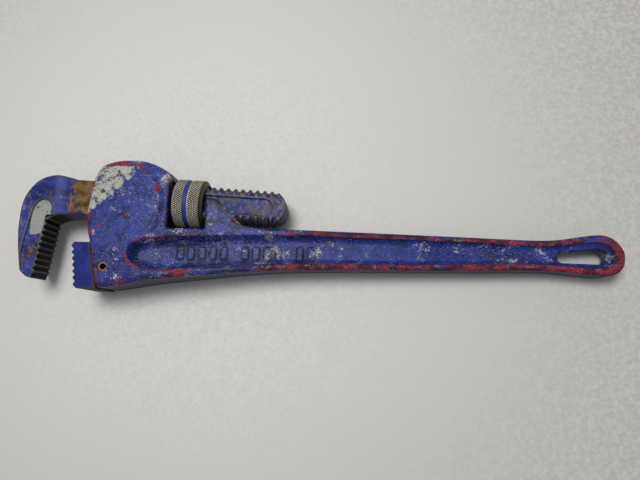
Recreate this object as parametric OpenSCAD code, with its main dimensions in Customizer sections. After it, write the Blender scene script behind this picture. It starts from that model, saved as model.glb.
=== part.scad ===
// Heavy straight pipe wrench lying on its side.
// X runs along the handle (jaws at -X), Y is up the height of the head, Z is the thickness.
// The floor under the widest part, the adjusting nut, is Z = 0.

/* [Jaw opening] */
// how far the hook jaw has been wound out from its rest setting, mm
jaw_out = 0; // [-20:1:50]

/* [Hook jaw] */
// thickness of the toothed hook, mm
hook_thick = 21; // [20:0.5:24]
// thickness of the flat-sided threaded shank, mm
shank_thick = 18; // [16:0.5:18]
// thread diameter over the crests of the shank, mm
thread_d = 25.8; // [25:0.1:26]
// thread pitch, mm
pitch = 5.08; // [4.8:0.02:5.2]
// depth of the long sunk panels in the shank and hook, mm
panel_depth = 1.6; // [0.8:0.1:2]

/* [Adjusting nut] */
// nut diameter over the knurl, mm
nut_d = 34; // [32:0.5:34]
// nut length, mm
nut_len = 21; // [19:0.5:22]
// depth of the smooth band between the two knurled bands, mm
nut_groove = 0.9; // [0.4:0.1:1.4]

/* [Handle and head] */
// thickness over the cheeks of the head, mm
head_thick = 32; // [31:0.5:33]
// thickness over the rims at the thin part of the handle, mm
handle_thick = 17; // [15:0.5:19]
// thickness of the web between the two side pockets, mm
web_thick = 7.6; // [6:0.2:9]

/* [Heel jaw] */
// thickness of the heel jaw, mm
heel_thick = 27; // [24:0.5:29]
// outside diameter of the roll pin, mm
pin_d = 6; // [5:0.25:7]

/* [Teeth] */
// tooth pitch on both jaws, mm
tooth_pitch = 4; // [3.6:0.1:4.2]
// tooth depth on both jaws, mm
tooth_depth = 1.7; // [1.2:0.1:2.2]

/* [Hidden] */
$fn = 64;

shift = [-5.95, -15.35, 17];       // puts the middle of the whole box over the origin
nut_at = [-76, 31.6];              // centre of the nut in the plane of the wrench
lean = 3.2;                        // the shank drops this much towards the handle, degrees
thread_r = thread_d / 2;
root_r = thread_r - 1.7;
bore_r = thread_r + 0.35;
lead_angle = atan(pitch / (PI * (thread_r + root_r)));
crest_at = 59.16;                  // last full crest on the upper edge, from the nut centre
shank_front = -82;
shank_end = 65.2;
neck_bottom = -14.6;
neck_top = 10;
leaf_top = neck_bottom - 0.3;
leaf_thick = 1.1;
coil_x = -124;
coil_bottom = 4.2;
slack = 0.1;

C_BLUE = [0.16, 0.2, 0.48];
C_STEEL = [0.5, 0.48, 0.42];
C_DARK = [0.28, 0.26, 0.24];

// smooth closed curve through the points, n steps to each span
function knot(p, i) = p[(i + len(p)) % len(p)];
function bend(a, b, c, d, t) =
    0.5 * (2 * b + (c - a) * t + (2 * a - 5 * b + 4 * c - d) * t * t
           + (3 * b - a - 3 * c + d) * t * t * t);
function smooth(p, n) =
    [for (i = [0 : len(p) - 1], j = [0 : n - 1])
        bend(knot(p, i - 1), knot(p, i), knot(p, i + 1), knot(p, i + 2), j / n)];

// the same curve through an open run of points
function open_curve(p, n) =
    let (last = len(p) - 1)
    concat([for (i = [0 : last - 1], j = [0 : n - 1])
        bend(p[max(i - 1, 0)], p[i], p[i + 1], p[min(i + 2, last)], j / n)], [p[last]]);

// saw teeth from a to b; out is +1 or -1, the side that the tips stand on
function teeth(a, b, out) =
    let (run = norm(b - a), u = (b - a) / run, side = out * [-u[1], u[0]],
         count = floor(run / tooth_pitch), step = run / count)
    [for (i = [0 : count - 1], j = [0 : 1])
        a + u * step * (i + (j == 0 ? 0.08 : 0.55)) + side * (j == 0 ? 0 : tooth_depth)];

module place() { translate(shift) children(); }
module on_shank() {
    translate([nut_at[0], nut_at[1], 0]) rotate([0, 0, -lean]) children();
}
module slab(t) { translate([0, 0, -t / 2]) linear_extrude(t) children(); }
module both_sides() {
    children();
    mirror([0, 0, 1]) children();
}
module bar(x0, x1, r) { translate([x0, 0, 0]) rotate([0, 90, 0]) cylinder(r = r, h = x1 - x0); }

// ---------------------------------------------------------------- handle_frame

module frame_outline() {
    polygon([
        [-142.5, 35.2], [-142, 43.5], [-140.2, 50.7], [-137, 55.2], [-131.7, 57.7],
        [-124.6, 59.4], [-117.4, 60], [-110.1, 59.5], [-102.9, 57.4], [-95.7, 53.9],
        [-89.1, 49.7], [-77.9, 43.3], [-63.9, 34.4], [-60.4, 34], [-57.1, 32.9], [-54, 31],
        [-50.4, 28.2], [-46.8, 24.5], [-43.2, 21], [-39.9, 18.4], [-36.5, 16.4],
        [-33.3, 15.1], [-28, 14.3], [-7, 13.9], [29, 13.2], [58, 12.6], [87, 11.9],
        [115, 11.1], [140, 10.3], [152, 10.1], [160, 10.3], [168, 11], [176.9, 12.5],
        [184, 13.7], [190.5, 14.4], [195.1, 14.3], [199.1, 13], [202.2, 10.6], [204.4, 7.3],
        [205.7, 3.5], [206, -0.3], [205.3, -4.3], [203.6, -7.6], [200.9, -10.1],
        [197, -11.7], [192, -12.3], [183, -11.8], [173, -11], [164, -10.3], [151, -9.9],
        [115, -10.9], [87, -11.5], [58, -12.1], [29, -12.7], [0, -13.4], [-32, -15.4],
        [-64, -18.8], [-82, -20.9], [-95, -22.5], [-108, -24.8], [-121, -27.1],
        [-128, -28.3], [-132, -28.5], [-133.5, -24], [-136.1, -14.3], [-138.7, -4.5],
        [-139.9, 1.6], [-142.2, 8.8], [-143.5, 14.3], [-143.9, 19.1], [-143.7, 25],
        [-143.2, 30]
    ]);
}

// thickness seen from above: full at the head, easing down to the slim handle
module frame_from_above() {
    h = head_thick / 2;
    s = handle_thick / 2;
    edge = [[-150, h], [-89, h], [-80, h - 0.4], [-64, h - 1.8], [-40, h - 4],
            [-10, s + 2.2], [30, s + 0.9], [80, s], [180, s], [196, s], [206, s - 0.8]];
    polygon(concat(edge, [for (i = [len(edge) - 1 : -1 : 0]) [edge[i][0], -edge[i][1]]]));
}

// the rounded crown of the head, seen along the handle
module head_section() {
    h = head_thick / 2;
    r = 5;
    square_half = h - r;
    for (s = [-1, 1]) translate([60 - r, s * square_half]) circle(r);
    translate([-40, -square_half]) square([100, 2 * square_half]);
    translate([-40, -h]) square([100 - r, 2 * h]);
}

module side_pocket() {
    floor_z = web_thick / 2;
    translate([0, 0, floor_z]) linear_extrude(20) polygon(smooth([
        [-112, -2.6], [-104.5, 2.2], [-90, 4.6], [-64, 6], [-30, 7.1], [0, 7.8], [58, 7.3],
        [115, 6.3], [148, 5.2], [158, 5.4], [172, 7], [186, 8.6], [195, 8.2], [199.4, 3],
        [199.4, -2.6], [196, -6.4], [188, -7.2], [172, -6.2], [148, -5.2], [115, -6],
        [58, -7.3], [0, -8.4], [-30, -10.2], [-64, -12.8], [-90, -14.6], [-104, -12.6],
        [-111.5, -8.2]
    ], 4));
}

module hang_slot() {
    slab(60) {
        translate([191, 0.35]) circle(4.6);
        translate([168.9, -0.5]) circle(3.4);
        polygon([[190.75, 4.95], [168.75, 2.9], [169.05, -3.9], [191.05, -4.25]]);
    }
}

module tunnel() {
    on_shank() {
        translate([-80, neck_bottom - 3.7, -shank_thick / 2 - 0.5])
            cube([68, thread_r + 4.1 - neck_bottom, shank_thick + 1]);
        translate([11, -thread_r - 1.1, -shank_thick / 2 - 0.5])
            cube([47, 60, shank_thick + 1]);
        translate([-64, neck_bottom - 4.6, -6.5]) cube([53, 6, 13]);
    }
    // the roof stops short of the cheeks at the mouth
    translate([-160, 35, -shank_thick / 2 - 0.9]) cube([24.5, 40, shank_thick + 1.8]);
}

module handle_frame() {
    color(C_BLUE) place() difference() {
        intersection() {
            slab(60) frame_outline();
            rotate([90, 0, 0]) translate([0, 0, -100]) linear_extrude(200) frame_from_above();
            rotate([90, 0, 90]) translate([0, 0, -160]) linear_extrude(400) head_section();
        }
        translate([-89.3, 12.2, -30]) cube([25.3, 80, 60]);
        tunnel();
        both_sides() side_pocket();
        hang_slot();
        translate([-145, -25, -6 - slack]) cube([24, 22, 12 + 2 * slack]);
        translate([-128.3, -14.8, -30]) cylinder(r = pin_d / 2 + 0.02, h = 60);
        translate([coil_x, coil_bottom, 0]) rotate([-90, 0, 0]) cylinder(r = 4.7, h = 18);
    }
}

// -------------------------------------------------------------------- hook_jaw

module hook_outline() {
    back = open_curve([
        [-158, 46.6], [-164, 48.1], [-169.5, 49], [-175.2, 48.5], [-179.9, 47.1],
        [-187, 41.7], [-192.2, 33.2], [-194.1, 21.8], [-193.6, 7.7], [-191.4, -6.1],
        [-189.1, -16.1], [-185.7, -21.3], [-178.7, -23.5]
    ], 4);
    face = teeth([-180.4, -20.2], [-176.2, 16.4], -1);
    throat = open_curve([[-174.8, 17.2], [-172.4, 18.8], [-168.8, 20.1], [-164, 20.9],
                         [-158, 21.4]], 3);
    polygon(concat(back, [[-178.9, -20.4]], face, throat));
}

// the hook is a little thicker than its shank; this is the step, seen from above
module hook_from_above() {
    h = hook_thick / 2;
    s = shank_thick / 2 - 0.2;
    polygon([[-200, -h], [-172, -h], [-165, -s], [-150, -s], [-150, s], [-165, s], [-172, h],
             [-200, h]]);
}

module hook_panel() {
    linear_extrude(10) polygon(smooth([
        [-181, 31.5], [-184.6, 26.5], [-186.3, 18], [-188.4, 6], [-189.6, -5], [-188.4, -14],
        [-184, -19.2], [-190, -30], [-176, -30], [-168, -10], [-171, 12], [-172.2, 22],
        [-171.6, 28], [-175.6, 31.8]
    ], 4));
}

module shank_outline() {
    translate([shank_front, -20]) square([shank_end - 12.6 - shank_front, 40]);
    translate([shank_end - 12.6, 0]) circle(12.6);
}

module thread_ring(x, tilt) {
    translate([x, 0, 0]) rotate([0, tilt, 0]) rotate([0, 90, 0]) rotate_extrude() polygon([
        [root_r - 0.8, -2.14], [thread_r, -0.45], [thread_r, 0.45], [root_r - 0.8, 2.14]
    ]);
}

// two rows of thread arcs, one on each edge of the shank, half a pitch apart
module shank_thread() {
    intersection() {
        slab(shank_thick) intersection() {
            shank_outline();
            translate([-200, 0]) square([400, 20]);
        }
        for (k = [0 : 18]) thread_ring(crest_at - k * pitch, lead_angle);
    }
    intersection() {
        slab(shank_thick) intersection() {
            shank_outline();
            translate([-200, -20]) square([400, 20]);
        }
        for (k = [0 : 18]) thread_ring(crest_at - (k + 0.5) * pitch, -lead_angle);
    }
}

module shank_panel() {
    translate([0, 0, shank_thick / 2 - panel_depth]) linear_extrude(10) {
        translate([50.5, -0.6]) circle(5.9);
        translate([-20, -0.6]) circle(5.9);
        translate([-20, -6.5]) square([70.5, 11.8]);
    }
}

module hook_jaw() {
    front = crest_at - 18.5 * pitch - 2;
    color(C_DARK) place() translate(jaw_out * [-cos(lean), sin(lean), 0]) difference() {
        union() {
            intersection() {
                slab(hook_thick) hook_outline();
                rotate([90, 0, 0]) translate([0, 0, -60]) linear_extrude(120) hook_from_above();
            }
            on_shank() {
                intersection() {
                    slab(shank_thick) shank_outline();
                    union() {
                        translate([shank_front, neck_bottom, -shank_thick / 2])
                            cube([front - shank_front, neck_top - neck_bottom, shank_thick]);
                        bar(front - 1, shank_end + 1, root_r);
                    }
                }
                shank_thread();
            }
        }
        both_sides() {
            on_shank() shank_panel();
            intersection() {
                translate([0, 0, hook_thick / 2 - panel_depth]) hook_panel();
                translate([-196, -40, 0]) cube([40, 80, 30]);
            }
        }
    }
}

// --------------------------------------------------------------- adjusting_nut

// one turning rib of the nut's inside thread, shaped to run between the shank's crests
module nut_rib() {
    steps = 24;
    turns = (nut_len - 4) / pitch;
    n = floor(turns * steps);
    mid = crest_at - 11.5 * pitch;
    first = mid - round((mid + n / steps * pitch / 2) / pitch) * pitch;
    shape = [[-1.6, bore_r + 0.4], [-0.68, thread_r - 1.3], [0.68, thread_r - 1.3],
             [1.6, bore_r + 0.4]];
    points = [for (i = [0 : n], q = shape)
        [first + i * pitch / steps + q[0], q[1] * cos(i * 360 / steps),
         q[1] * sin(i * 360 / steps)]];
    walls = [for (i = [0 : n - 1], j = [0 : 3])
        let (a = 4 * i + j, b = 4 * i + (j + 1) % 4)
        each [[a, b + 4, b], [a, a + 4, b + 4]]];
    polyhedron(points, concat([[0, 1, 2, 3]], walls, [[4 * n + 3, 4 * n + 2, 4 * n + 1, 4 * n]]));
}

module adjusting_nut() {
    h = nut_len / 2;
    r = nut_d / 2;
    color(C_STEEL) place() on_shank() {
        rotate([0, 90, 0]) rotate_extrude() polygon([
            [bore_r, -h + 0.6], [bore_r + 0.6, -h], [r - 1.8, -h], [r, -h + 1.4],
            [r, -3.1], [r - nut_groove, -2.7], [r - nut_groove, 0.1], [r, 0.5],
            [r, h - 1.8], [r - 2.2, h], [bore_r + 0.6, h], [bore_r, h - 0.6]
        ]);
        nut_rib();
    }
}

// -------------------------------------------------------------- heel jaw and pin

module heel_jaw() {
    face = teeth([-146.2, -28.6], [-151.1, 0.9], 1);
    color(C_BLUE) place() difference() {
        union() {
            slab(heel_thick) polygon(concat(
                [[-132.1, -29.3], [-146.2, -29.3]], face,
                [[-150.9, 1.6], [-140.05, 1.6], [-138.85, -4.5], [-136.25, -14.3],
                 [-133.65, -24], [-132.15, -28.6]]
            ));
            translate([-142, -25 + slack, -6]) cube([21 - slack, 22 - 2 * slack, 12]);
        }
        translate([-128.3, -14.8, -30]) cylinder(r = pin_d / 2 + 0.02, h = 60);
    }
}

module heel_jaw_pin() {
    color(C_STEEL) place() translate([-128.3, -14.8, 0]) slab(head_thick - 2) difference() {
        circle(pin_d / 2);
        circle(pin_d / 2 - 0.9);
        translate([0, -0.5]) square([pin_d, 1]);
    }
}

// --------------------------------------------------------------------- springs

module flat_spring() {
    mid = leaf_top - leaf_thick;
    color(C_STEEL) place() on_shank() difference() {
        union() {
            translate([-56, mid, -5.5]) cube([40, leaf_thick, 11]);
            translate([-56, mid, 0]) rotate([-90, 0, 0]) cylinder(r = 5.5, h = leaf_thick);
        }
        translate([-48, mid - 1, 0]) rotate([-90, 0, 0]) cylinder(r = 1.55, h = 4);
    }
}

module spring_rivet() {
    mid = leaf_top - leaf_thick;
    color(C_STEEL) place() on_shank() translate([-48, mid, 0]) rotate([-90, 0, 0]) {
        translate([0, 0, -0.5]) cylinder(r = 1.5, h = leaf_thick + 0.5);
        translate([0, 0, -1]) cylinder(r = 2.5, h = 1);
    }
}

module coil_spring() {
    steps = 14;
    sides = 8;
    turns = 5;
    wire = 0.55;
    radius = 3.5;
    height = 11.4;
    n = turns * steps;
    points = [for (i = [0 : n], j = [0 : sides - 1])
        let (a = i * 360 / steps, b = j * 360 / sides, rr = radius + wire * cos(b))
        [rr * cos(a), wire + height * i / n + wire * sin(b), rr * sin(a)]];
    walls = [for (i = [0 : n - 1], j = [0 : sides - 1])
        let (a = sides * i + j, b = sides * i + (j + 1) % sides)
        each [[a, b + sides, b], [a, a + sides, b + sides]]];
    ends = [[for (j = [0 : sides - 1]) j], [for (j = [sides - 1 : -1 : 0]) sides * n + j]];
    color(C_STEEL) place() translate([coil_x, coil_bottom + 0.1, 0])
        polyhedron(points, concat([ends[0]], walls, [ends[1]]));
}

handle_frame();
hook_jaw();
adjusting_nut();
heel_jaw();
heel_jaw_pin();
flat_spring();
spring_rivet();
coil_spring();
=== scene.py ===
import math

import bpy
import numpy as np
import openvdb
from mathutils import Matrix, Vector


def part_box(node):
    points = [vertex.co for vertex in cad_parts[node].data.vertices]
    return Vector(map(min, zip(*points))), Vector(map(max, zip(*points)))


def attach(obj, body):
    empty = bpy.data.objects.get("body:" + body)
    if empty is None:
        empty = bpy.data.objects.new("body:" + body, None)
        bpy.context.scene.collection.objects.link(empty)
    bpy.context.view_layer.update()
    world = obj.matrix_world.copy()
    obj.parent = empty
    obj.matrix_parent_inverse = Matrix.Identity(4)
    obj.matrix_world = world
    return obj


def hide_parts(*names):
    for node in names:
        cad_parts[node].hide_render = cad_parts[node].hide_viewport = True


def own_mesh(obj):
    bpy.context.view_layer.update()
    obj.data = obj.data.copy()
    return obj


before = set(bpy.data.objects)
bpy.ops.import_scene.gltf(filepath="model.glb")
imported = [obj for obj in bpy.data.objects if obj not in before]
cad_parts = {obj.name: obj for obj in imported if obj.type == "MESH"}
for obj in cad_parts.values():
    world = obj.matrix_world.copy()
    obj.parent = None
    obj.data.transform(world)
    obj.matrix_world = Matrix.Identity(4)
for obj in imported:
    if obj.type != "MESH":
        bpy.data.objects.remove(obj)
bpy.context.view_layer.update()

# ---------------------------------------------------------------------------
# Handle and head
# One ductile iron casting: the head with its tunnel and nut window, the saddle,
# and a fluted handle that ends in a hanging slot. It is painted, with worn rims.
# It is drawn in millimetres, with x along the handle and y up the head.

nut_lo, nut_hi = (np.array(v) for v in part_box("adjusting_nut"))
NUT_X, NUT_Y = -76.0, 31.6
LEAN = math.radians(3.2)
DRAWING_ZERO = (nut_lo + nut_hi) * 500 - (NUT_X, NUT_Y, 0)

CASTING_STEP = 0.5
WEB_HALF = 3.8
TUNNEL_HALF = 9.5
BAR_HALF_WIDE, BAR_HALF_TALL, BAR_PITCH = 2.1, 4.2, 7.3
SLOT_START, SLOT_LONG = 168.9, 22.1
PIN_X, PIN_Y, PIN_R = -128.3, -14.8, 3.02
COIL_X, COIL_FOOT = -124, 4.3

# The casting's outline, from the front of the head over its crown and along the handle.
CASTING_EDGE = [
    (-142.5, 35.2), (-142, 43.5), (-140.2, 50.7), (-137, 55.2), (-131.7, 57.7), (-124.6, 59.4),
    (-117.4, 60), (-110.1, 59.5), (-102.9, 57.4), (-95.7, 53.9), (-89.1, 49.7), (-77.9, 43.3),
    (-63.9, 34.4), (-60.4, 34), (-57.1, 32.9), (-54, 31), (-50.4, 28.2), (-46.8, 24.5),
    (-43.2, 21), (-39.9, 18.4), (-36.5, 16.4), (-33.3, 15.1), (-28, 14.3), (-7, 13.9),
    (29, 13.2), (58, 12.6), (87, 11.9), (115, 11.1), (140, 10.3), (152, 10.1), (160, 10.3),
    (168, 11), (176.9, 12.5), (184, 13.7), (190.5, 14.4), (195.1, 14.2), (199.1, 12.9),
    (202.2, 10.6), (204.4, 7.3), (205.7, 3.5), (205.9, -0.3), (205.3, -4.3), (203.6, -7.6),
    (200.9, -10.1), (197, -11.7), (192, -12.3), (183, -11.8), (173, -11), (164, -10.3),
    (151, -9.9), (115, -10.9), (87, -11.5), (58, -12.1), (29, -12.7), (0, -13.4), (-32, -15.4),
    (-64, -18.8), (-82, -20.9), (-95, -22.5), (-108, -24.8), (-121, -27.1), (-127, -28.2),
    (-131.3, -28.3), (-132.2, -27), (-136.1, -14.3), (-138.7, -4.5), (-139.9, 1.6),
    (-142.2, 8.8), (-143.8, 18), (-143.5, 27)]
# The rim of the flute that is sunk in each side.
FLUTE_EDGE = [
    (-113.5, -4), (-108, 2.2), (-94.7, 5.6), (-78, 6.9), (-40, 8.8), (0, 9.7), (58, 9),
    (115, 7.8), (146, 6.6), (158, 6.4), (171.4, 7.8), (184, 9.3), (193.5, 9.2), (199, 5.6),
    (200.6, 0.6), (199.2, -4.2), (194, -7.6), (183, -8), (165, -6.9), (149, -6.5), (115, -7.3),
    (58, -8.6), (0, -9.9), (-40, -12.6), (-76, -15.3), (-94, -16.6), (-104, -15), (-111.5, -10.5)]
# Half the thickness at each place along the casting.
HALF_THICK = [(-150, 16), (-90, 16), (-80, 15.6), (-64, 14.4), (-40, 12.2), (-10, 10.7),
              (30, 9.4), (80, 8.5), (196, 8.5), (206, 7.8)]
BOSS_X, BOSS_Y, BOSS_R = -125, 27, 30.7


def through(points, steps=4, closed=True):
    """A smooth line through the points, as a list of points."""
    p = np.array(points, float)
    if closed:
        a, b, c, d = (np.roll(p, shift, axis=0) for shift in (1, 0, -1, -2))
    else:
        q = np.vstack([p[:1], p, p[-1:]])
        a, b, c, d = q[:-3], q[1:-2], q[2:-1], q[3:]
    line = []
    for k in range(steps):
        t = k / steps
        line.append(0.5 * (2 * b + (c - a) * t + (2 * a - 5 * b + 4 * c - d) * t * t
                           + (3 * b - a - 3 * c + d) * t ** 3))
    line = np.stack(line, axis=1).reshape(-1, 2)
    return line if closed else np.vstack([line, p[-1:]])


def off_outline(line, x, y):
    """How far each (x, y) is outside a closed line, negative inside it."""
    x, y = np.broadcast_arrays(x[:, :, 0], y[:, :, 0])
    near = np.full(x.shape, 1e9, np.float32)
    inside = np.zeros(x.shape, bool)
    for (ax, ay), (bx, by) in zip(line, np.roll(line, -1, axis=0)):
        dx, dy = bx - ax, by - ay
        t = np.clip(((x - ax) * dx + (y - ay) * dy) / max(dx * dx + dy * dy, 1e-9), 0, 1)
        near = np.minimum(near, (x - ax - t * dx) ** 2 + (y - ay - t * dy) ** 2)
        if dy:
            inside ^= ((ay > y) != (by > y)) & (x < (y - ay) * dx / dy + ax)
    return (np.sqrt(near) * np.where(inside, -1, 1)).astype(np.float32)[:, :, None]


def both(a, b, soft=0.0):
    """The overlap of two solids, its inner corner eased by soft."""
    if not soft:
        return np.maximum(a, b)
    h = np.clip(0.5 - 0.5 * (b - a) / soft, 0, 1)
    return b + (a - b) * h + soft * h * (1 - h)


def either(a, b, soft=0.0):
    """Two solids joined, with the corner between them filled by soft."""
    return -both(-a, -b, soft)


def slab(side, face, r):
    """A plate from its outline and its two faces, with the edge between them rounded to r."""
    a, b = side + r, face + r
    return (np.sqrt(np.maximum(a, 0) ** 2 + np.maximum(b, 0) ** 2)
            + np.minimum(np.maximum(a, b), 0) - r)


def ease(v, lo, hi):
    """0 below lo, 1 above hi, and a smooth rise between them."""
    t = np.clip((v - lo) / (hi - lo), 0, 1)
    return t * t * (3 - 2 * t)


def along_shank(x, y):
    """x and y turned to run along and across the leaning shank, from the nut's centre."""
    c, s = math.cos(LEAN), math.sin(LEAN)
    return (x - NUT_X) * c - (y - NUT_Y) * s, (x - NUT_X) * s + (y - NUT_Y) * c


def casting(x, y, z):
    """The bare casting: a tapering plate, less its flutes, slot, tunnel, window and holes."""
    away = np.abs(z)
    thick = np.interp(x, *zip(*HALF_THICK)).astype(np.float32)
    from_boss = np.hypot(x - BOSS_X, y - BOSS_Y)
    thick = thick - 1.9 * ease(from_boss, BOSS_R - 0.8, BOSS_R + 3.5) * ease(y, 2, 12)
    rim = 2.6 + 2.6 * ease(y, 40, 56) + 0.8 * ease(-x, 60, 100)
    body = slab(off_outline(through(CASTING_EDGE, 3), x, y), away - thick, rim)

    floor = np.interp(x, [-114, -96, -60, -20], [8.5, 6.6, 5, WEB_HALF]).astype(np.float32)
    bars_y = np.interp(x, [-84, 8], [-3.7, -1.7])
    # Plain raised bars stand on the flute's floor in three groups.
    for group_x, count in ((-80.5, 5), (-37, 4), (-0.5, 2)):
        for k in range(count):
            bar = slab(np.abs(x - group_x - BAR_PITCH * k) - BAR_HALF_WIDE,
                       np.abs(y - bars_y) - BAR_HALF_TALL, 1)
            floor = floor + 1.0 * ease(-bar, -0.45, 0.35)
    wall = off_outline(through(FLUTE_EDGE, 3), x, y) + (thick - away) * 0.42
    body = both(body, -both(wall * 0.92, floor - away, 2.4), 0.9)

    t = np.clip((x - SLOT_START) / SLOT_LONG, 0, 1)
    slot = np.hypot(x - SLOT_START - SLOT_LONG * t, y + 0.5 - 0.85 * t) - (3.4 + 1.2 * t)
    body = both(body, -slot, 1.8)

    lx, ly = along_shank(x, y)
    across = away - TUNNEL_HALF
    tunnel = np.maximum(np.maximum(lx + 12, np.abs(ly + 2.5) - 15.8), across)
    saddle = np.maximum(np.maximum(np.abs(lx - 34.5) - 23.5, -14 - ly), across)
    leaf_room = np.maximum(np.maximum(np.abs(lx + 37.5) - 26.5, -19.2 - ly), away - 6.5)
    leaf_room = np.maximum(leaf_room, ly)
    mouth = np.maximum(np.maximum(x + 135.5, 35 - y), away - 9.9)
    window = np.maximum(np.abs(x + 76.65) - 12.65, 12.2 - y)
    heel_slot = np.maximum(np.maximum(x + 121, np.abs(y + 14) - 11), away - 6.1)
    pin_hole = np.hypot(x - PIN_X, y - PIN_Y) - PIN_R
    coil_hole = np.maximum(np.hypot(x - COIL_X, z) - 4.7, np.abs(y - 13.2) - 9)
    for hole, soft in ((window, 1.6), (saddle, 1.2), (tunnel, 0.8), (mouth, 0.8),
                       (leaf_room, 0), (heel_slot, 0.5), (pin_hole, 0.5), (coil_hole, 0)):
        body = both(body, -hole, soft)
    return body


def cast_mesh(name, lo, hi, step, field, blur=2.0):
    """The surface of a field, as an object, with how sharp each point's edge is as "edge"."""
    axes = [np.arange(a, b + step, step, dtype=np.float32) for a, b in zip(lo, hi)]
    x, y, z = axes[0][:, None, None], axes[1][None, :, None], axes[2][None, None, :]
    shape = tuple(len(a) for a in axes)
    solid = np.zeros(shape, np.float32)
    solid[:] = np.clip(field(x, y, z), -3, 3)
    grid = openvdb.FloatGrid()
    grid.background = 3.0
    grid.copyFromArray(solid)
    points, triangles, quads = grid.convertToPolygons(isovalue=0.0, adaptivity=0.0)

    # The field averaged over its neighbours is high on a sharp edge and low in a corner.
    soft = solid
    reach = max(1, round(blur / step))
    for axis in range(3):
        total = np.cumsum(np.pad(soft, [(reach + 1, reach) if a == axis else (0, 0)
                                        for a in range(3)], mode="edge"), axis=axis,
                          dtype=np.float32)
        ahead = np.take(total, range(2 * reach + 1, total.shape[axis]), axis=axis)
        behind = np.take(total, range(0, total.shape[axis] - 2 * reach - 1), axis=axis)
        soft = (ahead - behind) / (2 * reach + 1)
    cell = np.clip(points.astype(int), 0, np.array(shape) - 2)
    part = points - cell
    edge = np.zeros(len(points))
    for corner in np.ndindex(2, 2, 2):
        share = np.prod(np.where(corner, part, 1 - part), axis=1)
        edge += share * soft[tuple((cell + corner).T)]

    spots = points * step + np.array(lo)
    metres = (spots + DRAWING_ZERO) / 1000
    mesh = bpy.data.meshes.new(name)
    mesh.from_pydata(metres.tolist(), [], triangles.tolist() + quads.tolist())
    mesh.update()
    up = max(mesh.polygons, key=lambda f: f.center.z)
    if up.normal.z < 0:
        mesh.flip_normals()
    mesh.shade_smooth()
    o = bpy.data.objects.new(name, mesh)
    bpy.context.scene.collection.objects.link(o)
    mark(o, "edge", edge / blur * 4)
    return o, spots


def mark(o, name, values):
    """Keeps one number for each point of a mesh, for its material to read."""
    layer = o.data.attributes.new(name, "FLOAT", "POINT")
    layer.data.foreach_set("value", np.ascontiguousarray(values, dtype=np.float32))


class Finish:
    """One procedural material, built up layer by layer on the object's own coordinates."""

    def __init__(self, name):
        self.material = bpy.data.materials.new(name)
        self.material.use_nodes = True
        self.tree = self.material.node_tree
        self.shader = self.tree.nodes["Principled BSDF"]
        self.place = self.tree.nodes.new("ShaderNodeTexCoord").outputs["Object"]

    def node(self, kind, values=(), **settings):
        n = self.tree.nodes.new("ShaderNode" + kind)
        for key, value in settings.items():
            setattr(n, key, value)
        for key, value in dict(values).items():
            if isinstance(value, bpy.types.NodeSocket):
                self.tree.links.new(value, n.inputs[key])
            else:
                n.inputs[key].default_value = value
        return n

    def noise(self, size, detail=4, rough=0.6, stretch=(1, 1, 1), turn=0.0, shift=0.0):
        """Cloudy noise with blotches about size millimetres across."""
        where = self.node("Mapping", {"Vector": self.place, "Scale": stretch,
                                      "Rotation": (0, 0, turn), "Location": (shift,) * 3})
        return self.node("TexNoise", {"Vector": where.outputs[0], "Scale": 1000 / size,
                                      "Detail": detail, "Roughness": rough}).outputs["Fac"]

    def read(self, name):
        """The number that mark() kept under this name."""
        return self.node("Attribute", attribute_name=name).outputs["Fac"]

    def sum(self, a, b, operation="ADD"):
        return self.node("Math", {0: a, 1: b}, operation=operation).outputs[0]

    def total(self, *parts):
        """The sum of several values, each times its own weight."""
        out = None
        for value, weight in parts:
            share = self.sum(value, weight, "MULTIPLY")
            out = self.sum(out, share) if out else share
        return out

    def step(self, value, lo, hi):
        """0 below lo and 1 above hi, with a smooth rise between them."""
        return self.node("MapRange", {"Value": value, "From Min": lo, "From Max": hi},
                         interpolation_type="SMOOTHSTEP").outputs[0]

    def mix(self, share, under, over):
        """One colour laid over another, as thick as share says."""
        n = self.node("Mix", data_type="RGBA")
        for socket, value in ((n.inputs[0], share), (n.inputs[6], under), (n.inputs[7], over)):
            if isinstance(value, bpy.types.NodeSocket):
                self.tree.links.new(value, socket)
            else:
                socket.default_value = (*value, 1) if isinstance(value, tuple) else value
        return n.outputs[2]

    def level(self, share, under, over):
        """Mixes two numbers, such as roughnesses."""
        n = self.node("Mix", data_type="FLOAT")
        for socket, value in zip(n.inputs[0:1] + n.inputs[2:4], (share, under, over)):
            if isinstance(value, bpy.types.NodeSocket):
                self.tree.links.new(value, socket)
            else:
                socket.default_value = value
        return n.outputs[0]

    def coat(self, colour, roughness, metal=None, heights=()):
        """Joins the layers to the shader; heights are in millimetres of relief."""
        self.shader.inputs["Specular IOR Level"].default_value = 0.12
        self.tree.links.new(colour, self.shader.inputs["Base Color"])
        self.tree.links.new(roughness, self.shader.inputs["Roughness"])
        if metal is not None:
            self.tree.links.new(metal, self.shader.inputs["Metallic"])
        normal = None
        for height, depth in heights:
            values = {"Height": height, "Distance": depth / 1000, "Strength": 1.0}
            if normal:
                values["Normal"] = normal
            normal = self.node("Bump", values).outputs[0]
        if normal:
            self.tree.links.new(normal, self.shader.inputs["Normal"])


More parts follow.
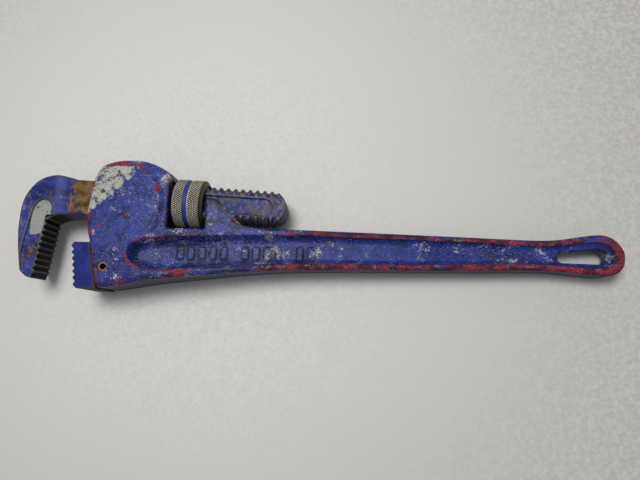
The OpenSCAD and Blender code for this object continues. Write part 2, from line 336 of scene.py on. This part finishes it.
def worn_enamel(name, deep, bright):
    """Blue enamel over red primer over iron: scuffed pale, chipped on edges, with painted shade in
    corners.
    """
    f = Finish(name)
    edge, rub, cream, wear, side_shade_and_soot = (f.read(n) for n in ("edge", "rub", "cream", "wear", "side_shade_and_soot"))
    fine, speck = f.noise(3.5, 8, 0.75, shift=3), f.noise(1.3, 4, 0.7, shift=6)
    colour = f.mix(f.step(f.noise(22, 5, 0.6), 0.36, 0.64), deep, bright)
    colour = f.mix(f.step(f.noise(6, 7, 0.7, shift=9), 0.52, 0.64), colour, (0.005, 0.008, 0.05))

    haze = f.total((fine, 1.0), (f.noise(13, 4, 0.6, shift=1), 0.8), (rub, 0.13), (speck, 0.5))
    scuffed = f.step(haze, 1.45, 1.56)
    pale = f.mix(f.noise(5, 4), (0.07, 0.08, 0.21), (0.20, 0.21, 0.31))
    colour = f.mix(f.sum(scuffed, 0.72, "MULTIPLY"), colour, pale)
    dots = f.step(f.total((speck, 1.0), (f.noise(12, 4, shift=5), 1.2), (rub, 0.04)), 1.28, 1.34)
    colour = f.mix(f.sum(dots, 0.8, "MULTIPLY"), colour, (0.38, 0.38, 0.37))
    for turn, across in ((0.9, 5), (-0.5, 6), (0.06, 7)):
        lines = f.noise(1.8, 4, 0.65, (1, across, 1), turn, shift=turn)
        scratch = f.step(f.total((lines, 1.0), (rub, 0.03)), 0.66, 0.68)
        colour = f.mix(f.sum(scratch, 0.75, "MULTIPLY"), colour, (0.38, 0.38, 0.40))

    chip = f.total((edge, 1.0), (wear, 1.0), (f.noise(9, 7, 0.72, shift=8), 3.0), (speck, 1.4))
    primer = f.step(chip, 2.95, 3.1)
    red = f.mix(f.step(speck, 0.4, 0.62), (0.12, 0.009, 0.014), (0.31, 0.04, 0.045))
    colour = f.mix(f.sum(primer, 0.92, "MULTIPLY"), colour, red)
    burnt = f.step(f.total((edge, 0.12), (f.noise(6, 8, 0.78, (0.5, 1.4, 1), shift=7), 1.0)),
                   0.57, 0.64)
    colour = f.mix(f.sum(burnt, 0.85, "MULTIPLY"), colour, (0.016, 0.012, 0.02))
    tan = f.step(f.total((edge, 0.8), (wear, 0.2), (f.noise(5, 7, 0.7, shift=4), 3.0),
                         (speck, 1.0)), 2.98, 3.1)
    khaki = f.mix(f.noise(2, 5), (0.07, 0.05, 0.04), (0.24, 0.20, 0.155))
    colour = f.mix(f.sum(tan, 0.8, "MULTIPLY"), colour, khaki)

    # Painted shade on the side faces all round the outline, and real soot on the web near the
    # slot's end.
    side_shade_and_soot_mask = f.step(f.total((side_shade_and_soot, 1.0), (f.noise(4, 7, 0.75, shift=11), 1.4)), 1.0, 1.45)
    colour = f.mix(f.sum(side_shade_and_soot_mask, 0.8, "MULTIPLY"), colour, (0.016, 0.015, 0.022))
    residue = f.step(f.total((cream, 0.62), (f.noise(4.5, 9, 0.82, shift=2), 1.3), (speck, 0.35)),
                     1.36, 1.41)
    chalk = f.mix(f.noise(2.2, 6, 0.7), (0.21, 0.22, 0.18), (0.46, 0.47, 0.40))
    colour = f.mix(residue, colour, chalk)

    # Painted shade: darker in corners and creases, where the edge measure is low.
    corner = f.step(f.total((edge, -1.0), (fine, 1.0)), 0.8, 1.2)
    colour = f.mix(f.sum(corner, 0.85, "MULTIPLY"), colour, (0.012, 0.011, 0.016))
    grime = f.step(f.total((speck, 1.0), (f.noise(18, 5, 0.6, shift=12), 0.9)), 1.04, 1.12)
    colour = f.mix(f.sum(grime, 0.7, "MULTIPLY"), colour, (0.022, 0.02, 0.024))

    rough = f.level(scuffed, 0.4, 0.6)
    rough = f.level(residue, rough, 0.85)
    rough = f.level(primer, rough, 0.65)
    f.coat(colour, rough, heights=(
        (f.noise(4.5, 4, 0.55), 0.32), (fine, 0.2), (primer, -0.08), (residue, 0.07)))
    return f.material


casting_obj, at = cast_mesh("wrench_casting", (-144.5, -30.5, -17.5), (207, 60, 17.5),
                            CASTING_STEP, casting)
px, py, pz = at.T
half = np.interp(px, *zip(*HALF_THICK))
past_line = (px + 112.5) * -0.681 + (py - 46.5) * 0.733
cream = ease(past_line, -1.5, 2) * ease(58 - py, 2.2, 5) * ease(-112 - px, -1.5, 2)
streak = ease(2.2 - np.abs(py - 15.5 - (px + 134) * 0.12) - 0.25 * np.abs(px + 134), 0, 1)
on_web = ease(11 - np.abs(pz), 0, 1.5)
web_cream = np.maximum(ease(1 - np.hypot((px - 105) / 9, (py - 2.6) / 3.4), 0, 0.4),
                       ease(1 - np.hypot((px - 136) / 15, (py + 3.6) / 2.6), 0, 0.4)) * on_web
collar = ease(px, -97, -94) * ease(px, -88, -90) * ease(py, 8, 14) * ease(40 - py, 0, 8)
# Painted highlight: a pale patch on the saddle's face, carried in the cream mark with the real
# cream residue.
saddle_highlight = ease(1 - np.hypot((px + 58) / 6.5, (py - 20) / 8.5), 0, 0.35) * ease(half - 4, 0, 1)
mark(casting_obj, "cream", np.maximum.reduce([cream, 0.6 * streak, 0.8 * web_cream,
                                              0.5 * collar, 0.75 * saddle_highlight]))
across_x, up_y = px[:, None, None], py[:, None, None]
off_side = off_outline(through(CASTING_EDGE, 3), across_x, up_y)[:, 0, 0]
# Painted shade: points on the side faces all round the outline are marked for darkening.
on_side = ease(off_side, -1.6, -0.3) * ease(half - np.abs(pz), 1.2, 3.2)
slot_end = ease(px, 170, 186) * ease(-off_side, 4, 6)
# The mark holds painted shade for the side faces and real soot near the slot's end.
mark(casting_obj, "side_shade_and_soot", np.maximum(0.75 * on_side, 0.5 * slot_end))
mark(casting_obj, "rub", np.interp(px, [-142, -112, -100, -60, 0, 22, 90, 110, 150, 160, 205],
                                   [0.1, 0.3, 1.1, 1.2, 0.9, 0.3, 0.2, 0.9, 0.9, 0.1, 0.2]))
wear = np.interp(px, [-142, -110, -64, -60, -36, -20, 10, 45, 60, 140, 150, 185, 200],
                 [0.45, 0.3, 0.0, -0.5, -0.4, 0.2, 0.4, 0.4, 0.2, 0.2, 0.4, 0.35, 0.8])
for spot_x, spot_y, spot_r in ((-97, 39, 2.5), (-116, 20, 1.2), (-133, 13, 1.8), (-139, -20, 2),
                               (-122, 54, 4), (-92, 34, 1.8)):
    wear += 0.8 * ease(spot_r - np.hypot(px - spot_x, py - spot_y), -1.5, 1.5)
mark(casting_obj, "wear", wear - 0.9 * ease(half - np.abs(pz), 1.6, 3.2))
casting_obj.data.materials.append(worn_enamel("worn_blue_enamel", (0.006, 0.014, 0.12),
                                              (0.022, 0.038, 0.22)))
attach(casting_obj, "frame")
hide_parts("handle_frame")

# ---------------------------------------------------------------------------
# Heel jaw and its roll pin
# A toothed block of hardened steel. Its tongue slides into a slot in the front
# of the head, and a hollow roll pin driven across holds it there.

TOOTH_PITCH, TOOTH_DEPTH = 4.0, 1.7
HEEL_HALF = 13.5


def saw(run, pitch):
    """Tooth height from 0 to 1 along a toothed face, steeper on one side than the other."""
    t = np.mod(run / pitch, 1)
    return np.minimum(t / 0.55, (1 - t) / 0.45)


def toothed(x, y, foot, tip, out):
    """How far a point is outside the saw teeth that stand on the line from foot to tip."""
    foot, tip = np.array(foot), np.array(tip)
    u = (tip - foot) / np.linalg.norm(tip - foot)
    count = math.floor(np.linalg.norm(tip - foot) / TOOTH_PITCH)
    pitch = np.linalg.norm(tip - foot) / count
    run = (x - foot[0]) * u[0] + (y - foot[1]) * u[1]
    off = out * (-(x - foot[0]) * u[1] + (y - foot[1]) * u[0])
    inside_run = ease(run, -0.4, 0.1) * ease(np.linalg.norm(tip - foot) - run, -0.4, 0.1)
    return (off - TOOTH_DEPTH * saw(run, pitch) * inside_run) * 0.72


def heel(x, y, z):
    """The heel block with its teeth and tongue, bored for the pin."""
    away = np.abs(z)
    block = [(-132.2, -29.3), (-153.5, -29.3), (-153.5, 1.6), (-140.1, 1.6), (-138.85, -4.5),
             (-136.25, -14.3), (-133.65, -24)]
    body = slab(off_outline(np.array(block), x, y), away - HEEL_HALF, 0.7)
    body = both(body, toothed(x, y, (-146.2, -28.9), (-151.1, 0.9), 1), 0.25)
    tongue = np.maximum(np.maximum(np.abs(x + 131.5) - 10.4, np.abs(y + 14) - 10.9), away - 6)
    body = either(body, tongue)
    return np.maximum(body, PIN_R - np.hypot(x - PIN_X, y - PIN_Y))


def hard_enamel(name):
    """Bright, thick enamel, scraped to dark steel on the tooth tips and dirty at the joint."""
    f = Finish(name)
    edge, joint = f.read("edge"), f.read("joint")
    colour = f.mix(f.step(f.noise(11, 4), 0.35, 0.7), (0.004, 0.011, 0.105), (0.010, 0.024, 0.17))
    pale = f.step(f.noise(2.6, 7, 0.72, (1, 2, 1)), 0.62, 0.72)
    colour = f.mix(f.sum(pale, 0.45, "MULTIPLY"), colour, (0.11, 0.135, 0.31))
    worn = f.step(f.sum(edge, f.sum(f.noise(3, 6, 0.7), 1.7, "MULTIPLY")), 1.42, 1.6)
    colour = f.mix(worn, colour, (0.03, 0.026, 0.026))
    dirt = f.step(f.sum(joint, f.sum(f.noise(3.4, 5, 0.7), 0.7, "MULTIPLY")), 0.85, 1.05)
    colour = f.mix(dirt, colour, (0.05, 0.034, 0.024))
    f.coat(colour, f.level(dirt, 0.4, 0.78),
           heights=((f.noise(3.5, 3), 0.2), (f.noise(0.7, 3), 0.03)))
    return f.material


heel_obj, at = cast_mesh("toothed_heel", (-155.5, -31, -15), (-119, 3.5, 15),
                         0.36, heel, blur=1.2)
px, py, pz = at.T
seam = np.interp(py, [-28.5, -14.3, 1.6], [-132.15, -136.25, -140.05])
mark(heel_obj, "joint", np.maximum(ease(px - seam, -2.6, -0.6), ease(-py, 27.2, 28.8)))
heel_obj.data.materials.append(hard_enamel("hard_blue_enamel"))
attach(heel_obj, "frame")
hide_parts("heel_jaw")


def old_steel(name, dark, light, rough=0.5, rust=0.45):
    """Plain steel with a skin of oil, smudges and light rust."""
    f = Finish(name)
    colour = f.mix(f.noise(2.4, 6, 0.7), dark, light)
    rusty = f.step(f.noise(4, 7, 0.75, shift=4), 0.72 - 0.3 * rust, 0.86 - 0.3 * rust)
    colour = f.mix(rusty, colour, (0.10, 0.042, 0.018))
    f.coat(colour, f.level(rusty, rough, 0.85), f.level(rusty, 0.9, 0.1),
           heights=((f.noise(0.8, 4), 0.03), (rusty, 0.04)))
    return f.material


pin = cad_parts["heel_jaw_pin"]
pin.data.materials.clear()
pin.data.materials.append(old_steel("roll_pin_steel", (0.05, 0.045, 0.035), (0.19, 0.17, 0.13)))
bevel = pin.modifiers.new("chamfer", "BEVEL")
bevel.width, bevel.segments, bevel.limit_method = 0.0002, 2, "ANGLE"

# ---------------------------------------------------------------------------
# Springs under the shank
# A coil spring stands in a blind hole in the tunnel floor and presses a leaf up
# against the lower thread. A rivet holds the leaf to the coil. All are oiled
# spring steel, inside the head where only the ends can be glimpsed.

spring_steel = old_steel("oiled_spring_steel", (0.05, 0.05, 0.055), (0.2, 0.19, 0.18), 0.35, 0.2)
leaf, rivet, coil = (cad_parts[n] for n in ("flat_spring", "spring_rivet", "coil_spring"))
for o in (leaf, rivet, coil):
    o.data.materials.clear()
    o.data.materials.append(spring_steel)
for o in (leaf, rivet):
    bevel = o.modifiers.new("eased edges", "BEVEL")
    bevel.width, bevel.segments, bevel.limit_method = 0.00025, 2, "ANGLE"
coil.data.shade_smooth()
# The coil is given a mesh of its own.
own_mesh(coil)

# ---------------------------------------------------------------------------
# Adjusting nut
# A steel ring with an inside thread, knurled in two bands with a plain painted
# groove between them. It is trapped in the window and winds the hook in or out.

NUT_R, NUT_HALF, BORE_R = 17.0, 10.5, 13.25
THREAD_R, ROOT_R = 12.9, 11.2
PITCH = 5.08
# One thread crest on the shank's upper edge, measured along it from the nut's centre.
CREST_AT = 59.16
KNURLS_ROUND = 74
KNURL_LONG = 2.3
KNURL_DEEP = 0.5


def turn_of(ly, z):
    """The angle round the shank in turns, from its upper edge."""
    return np.arctan2(z, ly) / (2 * math.pi)


def knurl_height(lx, turn):
    """Height of the diamond knurl from 0 to 1, where two sets of slanting ridges cross."""
    around, by = turn * KNURLS_ROUND, lx / KNURL_LONG
    ridge = [1 - 2 * np.abs(np.mod(around + side * by, 1) - 0.5) for side in (-1, 1)]
    return np.clip(1.35 * np.minimum(*ridge), 0, 0.8) / 0.8


def nut(x, y, z):
    """The ring with its chamfers, groove, two knurled bands and a thread inside."""
    lx, ly = along_shank(x, y)
    from_axis, turn = np.hypot(ly, z), turn_of(ly, z)
    on_band = np.maximum(ease(lx, -9.8, -9.2) * ease(-lx, 3.0, 3.5),
                         ease(lx, 0.5, 1.0) * ease(-lx, -9.2, -8.6))
    outer = NUT_R - 0.03 - KNURL_DEEP * on_band * (1 - knurl_height(lx, turn))
    outer = outer - 0.85 * ease(lx, -3.3, -2.7) * ease(-lx, -0.5, 0.1)
    ring = slab((from_axis - outer) * 0.85, np.abs(lx) - NUT_HALF, 1.5)
    ring = both(ring, (from_axis + 1.5 * (lx - NUT_HALF + 2.7) - NUT_R) * 0.55, 0.4)
    ring = both(ring, BORE_R - from_axis, 0.5)
    off_mid = np.abs(np.mod((lx - CREST_AT) / PITCH - turn + 0.5, 1) - 0.5) * PITCH
    off_valley = PITCH / 2 - off_mid
    rib = np.maximum(off_valley - 0.7 - (from_axis - THREAD_R + 1.3) * 0.5, np.abs(lx) - 9)
    rib = np.maximum(rib, THREAD_R - 1.3 - from_axis)
    rib = np.maximum(rib, from_axis - BORE_R - 0.5)
    return either(ring, rib * 0.9)


def knurled_steel(name):
    """Khaki-grey steel, black in the knurl's valleys with grime and painted shade, blue paint left
    in the groove, and painted shade on the end faces and in the bore.
    """
    f = Finish(name)
    valley, groove, shaded_end = f.read("valley"), f.read("groove"), f.read("shaded_end")
    colour = f.mix(f.noise(7, 5, 0.65), (0.30, 0.285, 0.21), (0.60, 0.58, 0.47))
    # Grime and painted shade: the knurl's valleys are darkened to near black.
    colour = f.mix(f.step(valley, 0.1, 0.6), colour, (0.014, 0.012, 0.009))
    paint = f.step(f.sum(groove, f.sum(f.noise(3, 6, 0.7), 0.5, "MULTIPLY")), 0.7, 0.85)
    blue = f.mix(f.noise(4, 5), (0.010, 0.018, 0.10), (0.03, 0.05, 0.22))
    colour = f.mix(paint, colour, blue)
    # Painted shade: the end faces, their chamfers and the bore are darkened.
    colour = f.mix(f.sum(shaded_end, 0.88, "MULTIPLY"), colour, (0.03, 0.026, 0.023))
    shine = f.sum(f.sum(1.0, paint, "SUBTRACT"), 0.55, "MULTIPLY")
    f.coat(colour, f.level(paint, 0.5, 0.42), shine, heights=((f.noise(0.7, 3), 0.04),))
    return f.material


nut_obj, at = cast_mesh("knurled_nut", (-89.5, 14.5, -17.5), (-62.5, 51.1, 17.5),
                        0.26, nut, blur=1.0)
px, py, pz = at.T
lx, ly = along_shank(px, py)
from_axis = np.hypot(ly, pz)
knurled = ((lx > -9.6) & (lx < -3.2)) | ((lx > 0.7) & (lx < 8.8))
# Grime and painted shade: how deep each point lies in the knurl's valleys, for darkening.
mark(nut_obj, "valley", np.where(knurled & (from_axis > 15),
                                 1 - knurl_height(lx, turn_of(ly, pz)), 0))
mark(nut_obj, "groove", ease(lx, -3.4, -2.8) * ease(-lx, -0.6, 0) * (from_axis > 15))
# Painted shade on the end faces, their chamfers and in the bore.
mark(nut_obj, "shaded_end", np.maximum(ease(np.maximum(-lx, lx + 1.6), 9.2, 10),
                                ease(14.5 - from_axis, 0, 1)))
nut_obj.data.materials.append(knurled_steel("knurled_steel"))
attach(nut_obj, "nut")
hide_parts("adjusting_nut")

# ---------------------------------------------------------------------------
# Hook jaw
# One forging: the hook with its hardened teeth, and a shank with two flat sides
# whose upper and lower edges are threaded. Long panels are sunk in both sides.

HOOK_HALF, SHANK_HALF = 10.5, 9.0
SHANK_END, SHANK_END_R = 65.2, 12.6
PANEL_DEEP = 1.6
HOOK_STEP = 0.4
NECK_LOW, NECK_HIGH = -14.6, 10.0
NECK_END = -36.8
# Outlines of the hook's back, its throat and its sunk panel, from the top round the front.
HOOK_BACK = [(-158, 46.6), (-164, 48.1), (-169.5, 49), (-175.2, 48.5), (-179.9, 47.1),
             (-183.9, 44.8), (-187, 41.7), (-189.9, 37.8), (-192.2, 33.2), (-193.6, 27.6),
             (-194, 21.8), (-194, 14.8), (-193.5, 7.7), (-192.6, 0.8), (-191.3, -6.1),
             (-189.1, -16.1), (-187.9, -18.9), (-184.3, -21.9), (-178.7, -23.5)]
THROAT = [(-174.8, 17.2), (-172.4, 18.8), (-168.8, 20.1), (-164, 20.9), (-157, 21.4)]
PANEL = [(-180, 31), (-184.4, 26.5), (-186.2, 18), (-188.2, 6), (-189.4, -5), (-188.6, -15),
         (-185, -26), (-176, -32), (-166, -10), (-168, 8), (-170.4, 18), (-171.6, 26),
         (-175.2, 31)]


def hook(x, y, z):
    """The hook, its flat-sided threaded shank and the panels sunk in both."""
    away = np.abs(z)
    back = through(HOOK_BACK, 3, closed=False)
    throat = through(THROAT, 4, closed=False)
    edge = np.vstack([back, [(-172, -23), (-168, 15)], throat])
    lx, ly = along_shank(x, y)
    middle = (NECK_LOW + NECK_HIGH) / 2
    neck = np.maximum(np.abs(ly - middle) - (NECK_HIGH - NECK_LOW) / 2,
                      np.maximum(lx - NECK_END, -90 - lx))
    half = HOOK_HALF - (HOOK_HALF - SHANK_HALF) * ease(x, -172, -163)
    body = slab(either(off_outline(edge, x, y), neck, 0.4), away - half, 1.6)
    teeth = toothed(x, y, (-180.4, -20.2), (-176.2, 16.4), -1)
    teeth = np.where(y < 17.2, teeth, -3)
    body = both(body, teeth, 0.2)

    from_axis, turn = np.hypot(ly, z), turn_of(ly, z)
    past_bend = lx - SHANK_END + SHANK_END_R
    end_round = np.where(past_bend > 0, np.hypot(past_bend, ly) - SHANK_END_R, -3)
    off_crest = np.abs(np.mod((lx - CREST_AT) / PITCH - turn + 0.5, 1) - 0.5) * PITCH
    screw = ROOT_R + (THREAD_R - ROOT_R) * np.clip((1.6 - off_crest) / 1.15, 0, 1)
    rod = both((from_axis - screw) * 0.75, np.maximum(NECK_END - 1 - lx, end_round), 0.8)
    shank = both(rod, away - SHANK_HALF, 0.7)
    along = np.clip(lx, -20, 50.5)
    groove = np.maximum(np.hypot(lx - along, ly + 0.6) - 5.9 + (SHANK_HALF - away) * 0.3,
                        SHANK_HALF - PANEL_DEEP - away)
    shank = both(shank, -groove, 0.7)
    body = either(body, shank)

    panel = off_outline(through(PANEL, 3), x, y) + (HOOK_HALF - away) * 0.3
    panel = both(panel, HOOK_HALF - PANEL_DEEP - away, 1.2)
    return both(body, -panel, 0.7)


def forged_hook_finish(name):
    """Blue paint on the hook, rust and old grease on the neck, near-black teeth."""
    f = Finish(name)
    edge, cream, rust = f.read("edge"), f.read("cream"), f.read("rust")
    bare, grey = f.read("bare"), f.read("grey")
    colour = f.mix(f.step(f.noise(13, 5), 0.36, 0.66), (0.007, 0.011, 0.09), (0.02, 0.034, 0.22))
    haze = f.step(f.sum(f.noise(3.2, 8, 0.75), f.sum(grey, 0.12, "MULTIPLY")), 0.58, 0.72)
    colour = f.mix(f.sum(haze, 0.75, "MULTIPLY"), colour, (0.15, 0.15, 0.145))
    dull = f.step(f.sum(f.noise(8, 7, 0.72, shift=7), f.sum(grey, 0.12, "MULTIPLY")), 0.58, 0.66)
    colour = f.mix(f.sum(dull, 0.75, "MULTIPLY"), colour, (0.062, 0.056, 0.056))
    residue = f.step(f.total((cream, 0.62), (f.noise(7, 8, 0.76, shift=2), 1.3)), 1.13, 1.2)
    pale = f.mix(f.noise(2, 6, 0.7), (0.13, 0.14, 0.12), (0.34, 0.35, 0.31))
    colour = f.mix(residue, colour, pale)
    chip = f.step(f.sum(edge, f.sum(f.noise(5, 7, 0.7, shift=8), 1.6, "MULTIPLY")), 1.12, 1.34)
    iron = f.mix(f.noise(2.5, 5), (0.03, 0.024, 0.02), (0.11, 0.095, 0.08))
    colour = f.mix(chip, colour, iron)
    rusty = f.step(f.sum(rust, f.sum(f.noise(7, 8, 0.74, shift=1), 1.8, "MULTIPLY")), 1.25, 1.45)
    brown = f.mix(f.step(f.noise(5, 7, 0.7), 0.35, 0.66), (0.05, 0.024, 0.008), (0.19, 0.115, 0.05))
    colour = f.mix(rusty, colour, brown)
    teeth = f.step(f.sum(bare, f.sum(f.noise(3, 5), 0.3, "MULTIPLY")), 0.55, 0.8)
    tooth_steel = f.mix(f.step(f.sum(edge, f.noise(2, 5)), 0.6, 1.3), (0.012, 0.010, 0.008),
                        (0.085, 0.078, 0.064))
    colour = f.mix(teeth, colour, tooth_steel)
    rough = f.level(rusty, 0.45, 0.8)
    rough = f.level(teeth, rough, 0.55)
    f.coat(colour, rough, f.sum(f.sum(teeth, chip, "MAXIMUM"), 0.5, "MULTIPLY"), heights=(
        (f.noise(3.5, 4, 0.55), 0.3), (f.noise(0.8, 3), 0.06), (residue, 0.06)))
    return f.material


hook_obj, at = cast_mesh("forged_hook", (-195, -25, -12), (-9, 50.5, 12), HOOK_STEP, hook, blur=1.4)
px, py, pz = at.T
lx, ly = along_shank(px, py)
face_x = np.interp(py, [-20.2, 16.4], [-180.4, -176.2])
bare = ease(px, face_x - 0.8, face_x + 0.3) * ease(-px, 166, 168) * (py < 20)
under = ease(px, -177, -175) * ease(-px, 148, 156) * ease(20.8 - py, -1, 0.8)
mark(hook_obj, "bare", np.maximum(bare, under))
rust_spot = ease(5 - np.hypot((px + 184) * 1.2, py + 4), -3, 2)
neck_rust = ease(px, -178, -138) * ease(-lx, 20, 60) * ease(11 - np.abs(ly + 2), -5, 3)
mark(hook_obj, "rust", np.maximum(neck_rust, 0.45 * rust_spot))
upper_panel = ease(py, 3, 8) * ease(33 - py, 0, 2) * ease(-px, 171, 173) * ease(px, -188, -185)
mark(hook_obj, "cream", np.maximum(upper_panel * ease(10 - np.abs(pz), 0, 0.6) * (lx < -80),
                                   0.5 * ease(px, -176, -164) * ease(-150 - px, 0, 8)))
mark(hook_obj, "grey", np.interp(px, [-194, -180, -165, -90, -60, -10],
                                 [0.9, 0.4, 0.3, 0.6, 0.8, 1.0]))
hook_obj.data.materials.append(forged_hook_finish("forged_hook_steel"))
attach(hook_obj, "hook")
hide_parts("hook_jaw")

# ---------------------------------------------------------------------------
# Floor, light and camera
# The wrench lies on a pale floor, tipped a little because the nut is thicker
# than the handle's end. Soft light comes from above, a little to the left.

# The floor rises 8.5 mm over the 275 mm between the nut and the handle's end.
TIP = math.atan2(0.0085, 0.275)
FLOOR_GAP = 0.0003
floor_mesh = bpy.data.meshes.new("floor")
floor_mesh.from_pydata([(-3, -3, 0), (3, -3, 0), (3, 3, 0), (-3, 3, 0)], [], [(0, 1, 2, 3)])
floor = bpy.data.objects.new("floor", floor_mesh)
bpy.context.scene.collection.objects.link(floor)
floor.matrix_world = (Matrix.Translation((float(nut_lo[0] + nut_hi[0]) / 2, 0, -FLOOR_GAP))
                      @ Matrix.Rotation(-TIP, 4, "Y"))
f = Finish("pale_floor")
shade = f.mix(f.noise(160, 4, 0.5), (0.545, 0.535, 0.515), (0.60, 0.59, 0.57))
# Painted light: the floor darkens with distance from the nut, a painted falloff of the light
# towards the edges.
from_nut = f.node("VectorMath", {0: f.place}, operation="LENGTH").outputs["Value"]
shade = f.mix(f.step(from_nut, 0.05, 0.42), shade, (0.33, 0.32, 0.31))
speck = f.step(f.noise(1.6, 3, 0.6), 0.70, 0.76)
shade = f.mix(f.sum(speck, 0.3, "MULTIPLY"), shade, (0.30, 0.29, 0.28))
shade = f.mix(f.step(f.noise(3, 4, 0.7, shift=5), 0.3, 0.75), shade, (0.50, 0.49, 0.475))
f.coat(shade, f.step(f.noise(40, 3), -0.9, 1.1), heights=((f.noise(2.5, 4), 0.08),))
floor.data.materials.append(f.material)

world = bpy.data.worlds.new("room")
bpy.context.scene.world = world
world.use_nodes = True
world.node_tree.nodes["Background"].inputs["Color"].default_value = (0.93, 0.96, 1.0, 1)
world.node_tree.nodes["Background"].inputs["Strength"].default_value = 0.31

LIGHTS = {"window": ((-0.2, 0.26, 1.1), 0.45, 11.8, (1.0, 0.985, 0.96)),
          "room_fill": ((0.9, -0.2, 1.7), 1.6, 2, (0.95, 0.97, 1.0))}
for name, (spot, size, power, colour) in LIGHTS.items():
    lamp = bpy.data.lights.new(name, "AREA")
    lamp.size, lamp.energy, lamp.color = size, power, colour
    o = bpy.data.objects.new(name, lamp)
    o.location = spot
    o.rotation_euler = (-Vector(spot)).to_track_quat("-Z", "Y").to_euler()
    bpy.context.scene.collection.objects.link(o)

lens = bpy.data.cameras.new("camera")
lens.sensor_width, lens.lens = 36, 27.06
lens.clip_start = 0.01
camera = bpy.data.objects.new("camera", lens)
camera.location = (0.0277, -0.0683, 0.3342)
camera.rotation_euler = [math.radians(v) for v in (11.06, 3.50, 1.86)]
bpy.context.scene.collection.objects.link(camera)
bpy.context.scene.camera = camera
bpy.context.scene.view_settings.view_transform = "Standard"
